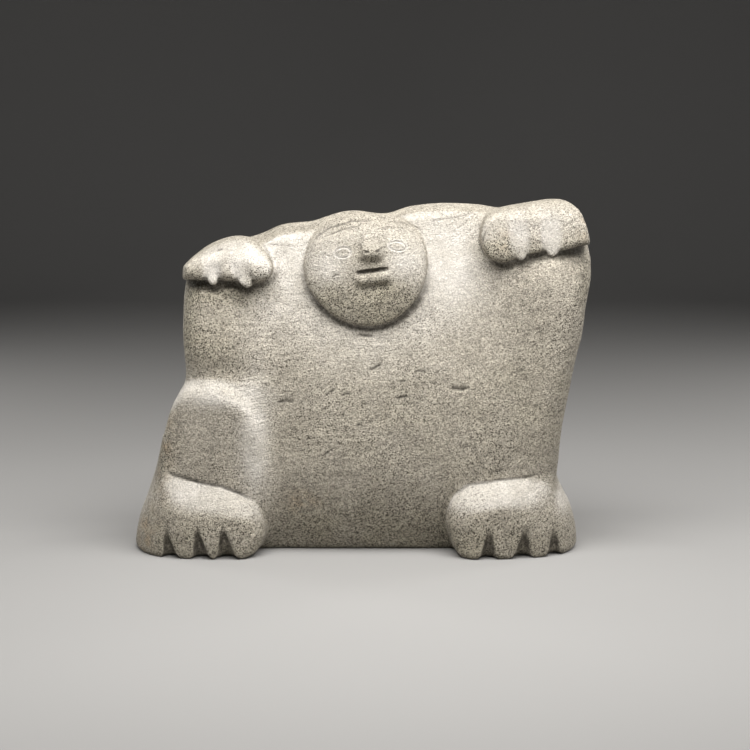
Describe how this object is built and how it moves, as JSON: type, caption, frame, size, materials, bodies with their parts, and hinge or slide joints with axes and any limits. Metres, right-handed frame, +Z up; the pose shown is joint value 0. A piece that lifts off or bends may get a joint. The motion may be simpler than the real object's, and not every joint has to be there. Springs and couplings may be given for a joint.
{
  "type": "carved stone figure",
  "caption": "Seated slab-bodied stone figure with a round tilted face, two raised three-knuckled paws, a bent knee and two four-toed feet.",
  "frame": {"origin": "on the surface it stands on, under the middle of the figure's width and depth", "axes": "+Z up; the face and the toes point to -Y; +X to the viewer's right, towards the higher paw"},
  "size_m": [0.2526, 0.1063, 0.192],
  "materials": {
    "pale_stone": "dry honed stone, warm light grey with fine dark and light speckle, tool marks and short cracks"
  },
  "bodies": {
    "root": {"stone_figure": "pale_stone"}
  },
  "joints": []
}
